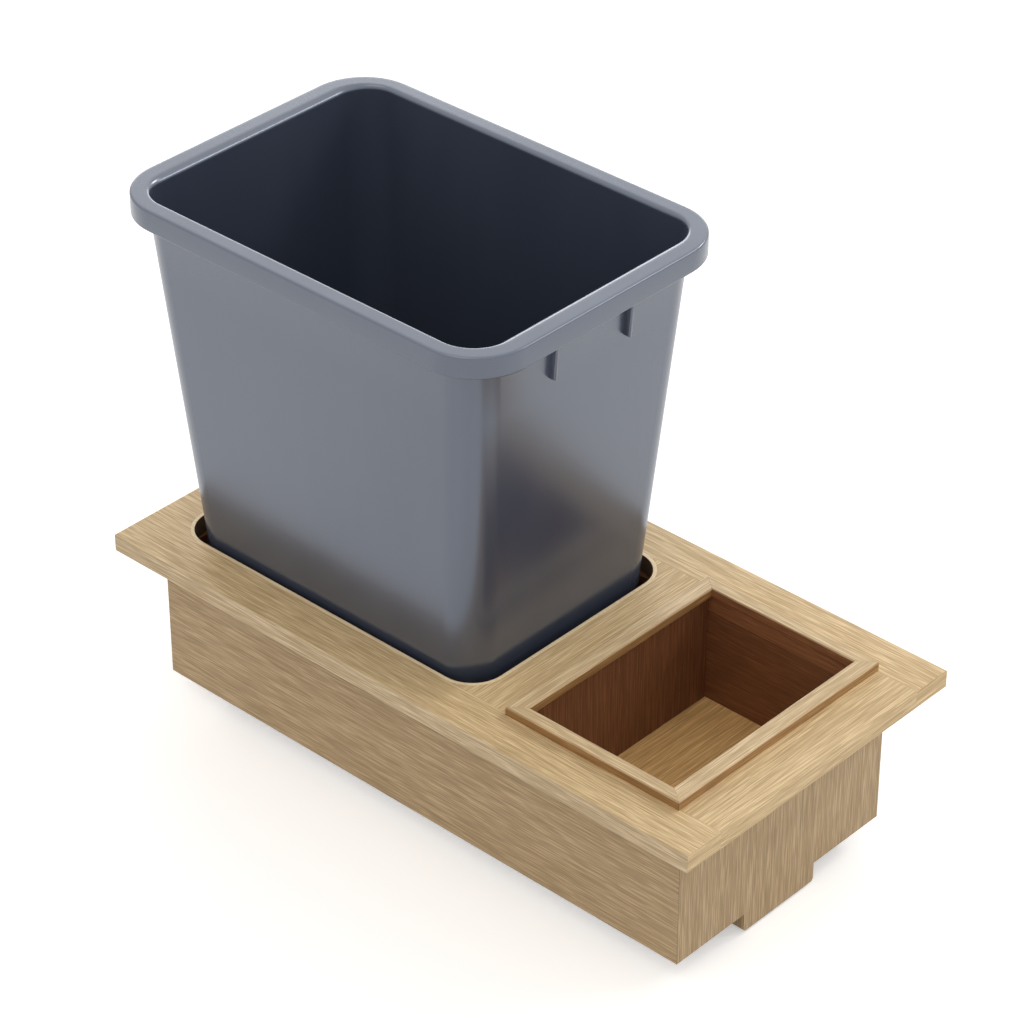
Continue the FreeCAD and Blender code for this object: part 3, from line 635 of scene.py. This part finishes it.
def outer_loops():
    """From the foot's recess up the outside of the walls, round the skirt and in over the ring."""
    foot = inward(wall_half(BIN_FLOOR), FOOT_WIDTH)
    foot_corner = WALL_CORNER - FOOT_WIDTH
    recess_z = BIN_FLOOR + FOOT_DEPTH
    loops = [bin_loop(inward(foot, FOOT_LEDGE), foot_corner - FOOT_LEDGE, recess_z),
             bin_loop(inward(foot, CREASE), foot_corner, recess_z),
             bin_loop(foot, foot_corner, recess_z - EDGE_EASING),
             bin_loop(foot, foot_corner, BIN_FLOOR + EDGE_EASING),
             bin_loop(inward(foot, -EDGE_EASING), foot_corner, BIN_FLOOR)]
    base_z = BIN_FLOOR + BASE_ROUNDING
    base = inward(wall_half(base_z), BASE_ROUNDING)
    loops += rounded_turn(base, WALL_CORNER - BASE_ROUNDING, base_z, BASE_ROUNDING, -90, 0, steps=8)
    for step in range(1, WALL_STEPS + 1):
        z = base_z + (SKIRT_BOTTOM - SHOULDER_DROP - base_z) * step / WALL_STEPS
        loops.append(bin_loop(wall_half(z), WALL_CORNER, z))
    shoulder = inward(wall_half(SKIRT_BOTTOM), -EDGE_EASING)
    ring_under = BIN_TOP - RING
    loops += [bin_loop(shoulder, WALL_CORNER + EDGE_EASING, SKIRT_BOTTOM - CREASE),
              bin_loop(inward(neck_half, NECK_EASING), NECK_CORNER, SKIRT_BOTTOM),
              bin_loop(neck_half, NECK_CORNER, SKIRT_BOTTOM + NECK_EASING),
              bin_loop(neck_half, NECK_CORNER, ring_under - SKIRT_FILLET),
              bin_loop(inward(neck_half, -SKIRT_FILLET), NECK_CORNER + SKIRT_FILLET, ring_under)]
    skirt_in = inward(RIM_HALF, SKIRT)
    loops += [bin_loop(inward(skirt_in, SKIRT_FILLET), RIM_CORNER - SKIRT - SKIRT_FILLET, ring_under),
              bin_loop(skirt_in, RIM_CORNER - SKIRT, ring_under - SKIRT_FILLET)]
    lip = SKIRT / 2
    loops += rounded_turn(inward(RIM_HALF, lip), RIM_CORNER - lip, SKIRT_BOTTOM + lip, lip, -180, 0, steps=8)
    edge = inward(RIM_HALF, RIM_ROUNDING)
    edge_corner = RIM_CORNER - RIM_ROUNDING
    loops += rounded_turn(edge, edge_corner, BIN_TOP - RIM_ROUNDING, RIM_ROUNDING, 0, 90, steps=7)
    for step in range(1, RING_STEPS):
        share = step / RING_STEPS
        half = [a + (b - a) * share for a, b in zip(edge, ROLL_HALF)]
        loops.append(bin_loop(half, edge_corner + (ROLL_CORNER - edge_corner) * share, BIN_TOP))
    return loops


def inner_loops():
    """From the ring's rolled inner edge down the inside of the walls to the bin's floor."""
    loops = []
    cavity_corner = WALL_CORNER - WALL
    for degrees in ROLL_ANGLES:
        turn = math.radians(degrees)
        half = [at - reach * math.sin(turn) for at, reach in zip(ROLL_HALF, ROLL_REACH)]
        corner = ROLL_CORNER + (cavity_corner - ROLL_CORNER) * math.sin(turn)
        loops.append(bin_loop(half, corner, BIN_TOP - ROLL_DROP * (1 - math.cos(turn))))
    floor_z = BIN_FLOOR + FOOT_DEPTH + BASE
    base_z = floor_z + BASE_ROUNDING
    for step in range(CAVITY_STEPS + 1):
        z = INNER_TOP - (INNER_TOP - base_z) * step / CAVITY_STEPS
        loops.append(bin_loop(inward(wall_half(z), WALL), cavity_corner, z))
    base = inward(wall_half(base_z), WALL + BASE_ROUNDING)
    base_corner = cavity_corner - BASE_ROUNDING
    loops += rounded_turn(base, base_corner, base_z, BASE_ROUNDING, -12, -90, steps=7)
    loops.append(bin_loop(inward(base, FLOOR_LEDGE), base_corner - FLOOR_LEDGE, floor_z))
    return loops


def skinned(loops):
    """Points and faces of a skin through closed loops, with a flat cap on the first and the last."""
    points = [point for loop in loops for point in loop]
    size = len(loops[0])
    last_loop = len(loops) - 1
    faces = [list(reversed(range(size)))]
    for loop in range(last_loop):
        low = loop * size
        high = low + size
        for step in range(size):
            after = (step + 1) % size
            faces.append((low + step, low + after, high + after, high + step))
    faces.append([last_loop * size + step for step in range(size)])
    return points, faces


def rib(points, faces, x, end):
    """One rib, a thin fin from under the skirt down the wall, with its edges and lower tip eased."""
    root_low = wall_half(RIB_BOTTOM)[1] - RIB_ROOT
    root_high = wall_half(SKIRT_BOTTOM)[1] - RIB_ROOT
    reach_low = root_low + RIB_ROOT + RIB_REACH
    reach_high = root_high + RIB_ROOT + RIB_REACH
    rib_top = SKIRT_BOTTOM + CREASE
    # Each point has its distance from the bin's middle and its height, and whether it is on the fin's
    # outer edge and on its lower edge, which draw in towards the fin's two faces.
    outline = [(root_low, RIB_BOTTOM, 0, 1), (reach_low - RIB_TIP, RIB_BOTTOM, 1, 1),
               (reach_low - CREASE, RIB_BOTTOM + CREASE, 1, 1), (reach_low, RIB_BOTTOM + RIB_TIP, 1, 1),
               (reach_high, rib_top, 1, 0), (root_high, rib_top, 0, 0)]
    first = len(points)
    for offset, easing in RIB_EDGES:
        points += [(x + offset, BIN_Y + end * (y - easing * outer), z + easing * lower)
                   for y, z, outer, lower in outline]
    count = len(outline)
    last = first + (len(RIB_EDGES) - 1) * count
    for low in range(first, last, count):
        for step in range(count):
            after = (step + 1) % count
            quad = [low + step, low + after, low + count + after, low + count + step]
            faces.append(quad if end > 0 else quad[::-1])
    near = list(range(first, first + count))
    far = list(range(last, last + count))
    faces.append(near[::-1] if end > 0 else near)
    faces.append(far if end > 0 else far[::-1])


def moulded_group():
    """Moulded plastic: fine grit of the mould's texture and slow, faint flow marks."""
    group, given, result = new_group(
        "moulded_plastic",
        [("Tint", "NodeSocketColor", (0.07, 0.08, 0.1, 1)),
         ("Faded", "NodeSocketColor", (0.1, 0.11, 0.13, 1)), ("Gloss", "NodeSocketFloat", 0.25)],
        SURFACE_OUTPUTS)
    where = add_node(group, "TexCoord").outputs["Object"]
    drawn = vector_of(group, "MULTIPLY", where, FLOW_STRETCH)
    flow = ramp_of(group, noise_of(group, drawn, scale=16, detail=2.0, roughness=0.5), low=0.3, high=0.75)
    grit = noise_of(group, where, scale=2600, detail=3.0, roughness=0.55)
    tone = tinted(group, given.outputs["Tint"], flow, 0.45, given.outputs["Faded"])
    rough = calculated(group, "ADD", given.outputs["Gloss"], weighed(group, flow, 0.03))
    height = calculated(group, "ADD", weighed(group, grit, 0.5), weighed(group, flow, 0.5))
    put_out(group, result, tone, rough, height)
    return group


bin_plastic, shader = surface_material("moulded_bin_plastic", moulded_group(),
                                       {"Tint": PLASTIC_BLUE, "Faded": PLASTIC_FADED, "Gloss": 0.24},
                                       PLASTIC_RELIEF, 0.12)
shader.inputs["IOR"].default_value = 2.05
shader.inputs["Specular Tint"].default_value = PLASTIC_SHEEN

points, faces = skinned(outer_loops() + inner_loops())
for x in (-RIB_X, RIB_X):
    for end in (-1, 1):
        rib(points, faces, x, end)
moulded_bin = mesh_piece("moulded_bin", points, faces, BIN_SHARP)
dress(moulded_bin, "bin", bin_plastic, "bin_plastic", "waste_bin")

# --- Floor, light and camera --------------------------------------------------------------------
# The tray stands on a plain white floor under soft daylight, with a low lamp from its right, a warm fill
# from its left and two soft boxes that draw bright lines along the bin's ring. The floor keeps its shadow.

FLOOR_HALF = 6.0
FLOOR_GREY = (0.86, 0.86, 0.86, 1)
FLOOR_GLOW = 0.40
WHITE = (1, 1, 1, 1)
SKY_LIGHT = 0.76
SKY_SEEN = 1.0
SKY_SEEN_OVERHEAD = 1.45
BOX_DISTANCE = 4.0
BOX_AIM = Vector((0, 0.1, 0.3))
DAYLIGHT = (1.0, 0.97, 0.92)
WARM = (1.0, 0.88, 0.68)


def seen_mask(tree):
    """Is 1 where the camera, a reflection or a clear surface sees it, and 0 for its light on the object."""
    seen = add_node(tree, "LightPath")
    mask = calculated(tree, "MAXIMUM", seen.outputs["Is Camera Ray"], seen.outputs["Is Glossy Ray"])
    return calculated(tree, "MAXIMUM", mask, seen.outputs["Is Transmission Ray"])


floor_corners = [(x * FLOOR_HALF, y * FLOOR_HALF, 0) for x, y in ((-1, -1), (1, -1), (1, 1), (-1, 1))]
floor = mesh_piece("studio_floor", floor_corners, [(0, 1, 2, 3)])
floor_white, tree, shader = new_material("floor_white")
shader.inputs["Base Color"].default_value = FLOOR_GREY
shader.inputs["Roughness"].default_value = 1.0
shader.inputs["Specular IOR Level"].default_value = 0.0
glow = add_node(tree, "Emission", {"Color": WHITE})
tree.links.new(weighed(tree, seen_mask(tree), FLOOR_GLOW), glow.inputs["Strength"])
both = add_node(tree, "AddShader")
tree.links.new(shader.outputs[0], both.inputs[0])
tree.links.new(glow.outputs[0], both.inputs[1])
tree.links.new(both.outputs[0], tree.nodes["Material Output"].inputs["Surface"])
floor.data.materials.append(floor_white)

world = bpy.data.worlds.new("soft_daylight")
bpy.context.scene.world = world
world.use_nodes = True
tree = world.node_tree
sky = tree.nodes["Background"]
sky.inputs["Color"].default_value = WHITE
up = add_node(tree, "SeparateXYZ")
tree.links.new(add_node(tree, "TexCoord").outputs["Generated"], up.inputs[0])
overhead = ramp_of(tree, up.outputs["Z"], low=0.1, high=0.6, to_low=SKY_SEEN, to_high=SKY_SEEN_OVERHEAD)
strength = add_node(tree, "MapRange", {"To Min": SKY_LIGHT})
tree.links.new(seen_mask(tree), strength.inputs["Value"])
tree.links.new(overhead, strength.inputs["To Max"])
tree.links.new(strength.outputs["Result"], sky.inputs["Strength"])


def direction(turn, height):
    """A direction from its turn about the vertical and its height above level, in degrees."""
    turn, height = math.radians(turn), math.radians(height)
    return Vector((math.cos(turn) * math.cos(height), math.sin(turn) * math.cos(height), math.sin(height)))


def far_lamp(name, turn, height, power, color, width):
    light = bpy.data.lights.new(name, "SUN")
    light.energy = power
    light.color = color
    light.angle = math.radians(width)
    lamp = new_object(name, light)
    lamp.rotation_mode = "QUATERNION"
    lamp.rotation_quaternion = Vector((0, 0, 1)).rotation_difference(direction(turn, height))


def soft_box(name, turn, height, size, power):
    light = bpy.data.lights.new(name, "AREA")
    light.shape = "RECTANGLE"
    light.size, light.size_y = size
    light.energy = power
    lamp = new_object(name, light)
    lamp.visible_camera = False
    out = direction(turn, height)
    level = direction(turn + 90, 0)
    facing = Matrix((level, out.cross(level), out)).transposed()
    lamp.matrix_world = Matrix.Translation(BOX_AIM + out * BOX_DISTANCE) @ facing.to_4x4()


far_lamp("low_sun", turn=-9, height=33, power=0.65, color=DAYLIGHT, width=12)
far_lamp("left_fill", turn=180, height=60, power=0.38, color=WARM, width=40)
soft_box("back_soft_box", turn=43, height=13, size=(3.0, 1.5), power=42)
soft_box("right_soft_box", turn=-42, height=34, size=(0.7, 0.7), power=14)

CAMERA_TURN = math.radians(-47.37235)
CAMERA_HEIGHT = math.radians(33.90923)
CAMERA_DISTANCE = 2.854382
CAMERA_TARGET = Vector((0.080904, 0.082568, 0.149))
CAMERA_LENS = 133.134
CAMERA_SENSOR = 36
CAMERA_REACH = 50

camera = bpy.data.cameras.new("camera")
camera.lens = CAMERA_LENS
camera.sensor_width = CAMERA_SENSOR
camera.clip_end = CAMERA_REACH
eye = new_object("camera", camera)
back = Vector((math.sin(CAMERA_TURN) * math.cos(CAMERA_HEIGHT),
               -math.cos(CAMERA_TURN) * math.cos(CAMERA_HEIGHT), math.sin(CAMERA_HEIGHT)))
right = Vector((math.cos(CAMERA_TURN), math.sin(CAMERA_TURN), 0))
turn = Matrix((right, back.cross(right), back)).transposed()
eye.matrix_world = Matrix.Translation(CAMERA_TARGET + back * CAMERA_DISTANCE) @ turn.to_4x4()
bpy.context.scene.camera = eye
bpy.context.scene.view_settings.view_transform = "Standard"
